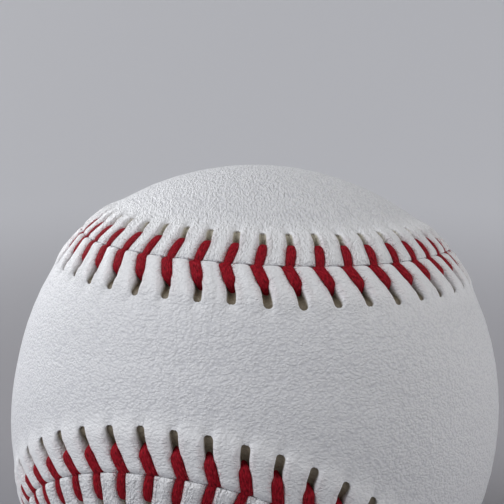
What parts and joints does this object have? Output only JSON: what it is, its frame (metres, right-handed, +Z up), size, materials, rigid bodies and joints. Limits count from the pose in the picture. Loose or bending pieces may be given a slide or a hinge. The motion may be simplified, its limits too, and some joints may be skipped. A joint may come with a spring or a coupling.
{
  "type": "baseball",
  "caption": "Baseball with a cork centred pill, wound wool and cotton layers, a white two panel leather cover and a raised seam of red herringbone stitches.",
  "frame": {"origin": "centre of the ball", "axes": "+Z up as the ball lies; +Y away from a viewer who faces the front run of the seam, +X to that viewer's right"},
  "size_m": [0.0734, 0.0759, 0.0733],
  "materials": {
    "cork": "matt ground cork bound with rubber",
    "black_rubber": "matt moulded rubber",
    "red_rubber": "matt moulded rubber",
    "grey_wool": "wound grey woollen yarn",
    "white_wool": "wound white woollen yarn",
    "fine_cotton": "fine wound cotton and polyester yarn",
    "cement": "dried rubber cement, slightly glossy",
    "white_leather": "fine pebbled white cowhide, soft sheen",
    "red_thread": "waxed red cotton thread"
  },
  "bodies": {
    "root": {"cork_core": "cork", "black_shell_upper": "black_rubber", "black_shell_lower": "black_rubber", "washer_upper": "red_rubber", "washer_lower": "red_rubber", "red_rubber_jacket": "red_rubber", "winding_inner": "grey_wool", "winding_middle": "white_wool", "winding_outer": "grey_wool", "winding_finish": "fine_cotton", "cement_coat": "cement", "cover_panel_a": "white_leather", "cover_panel_b": "white_leather", "stitch_thread_a": "red_thread", "stitch_thread_b": "red_thread"}
  },
  "joints": []
}
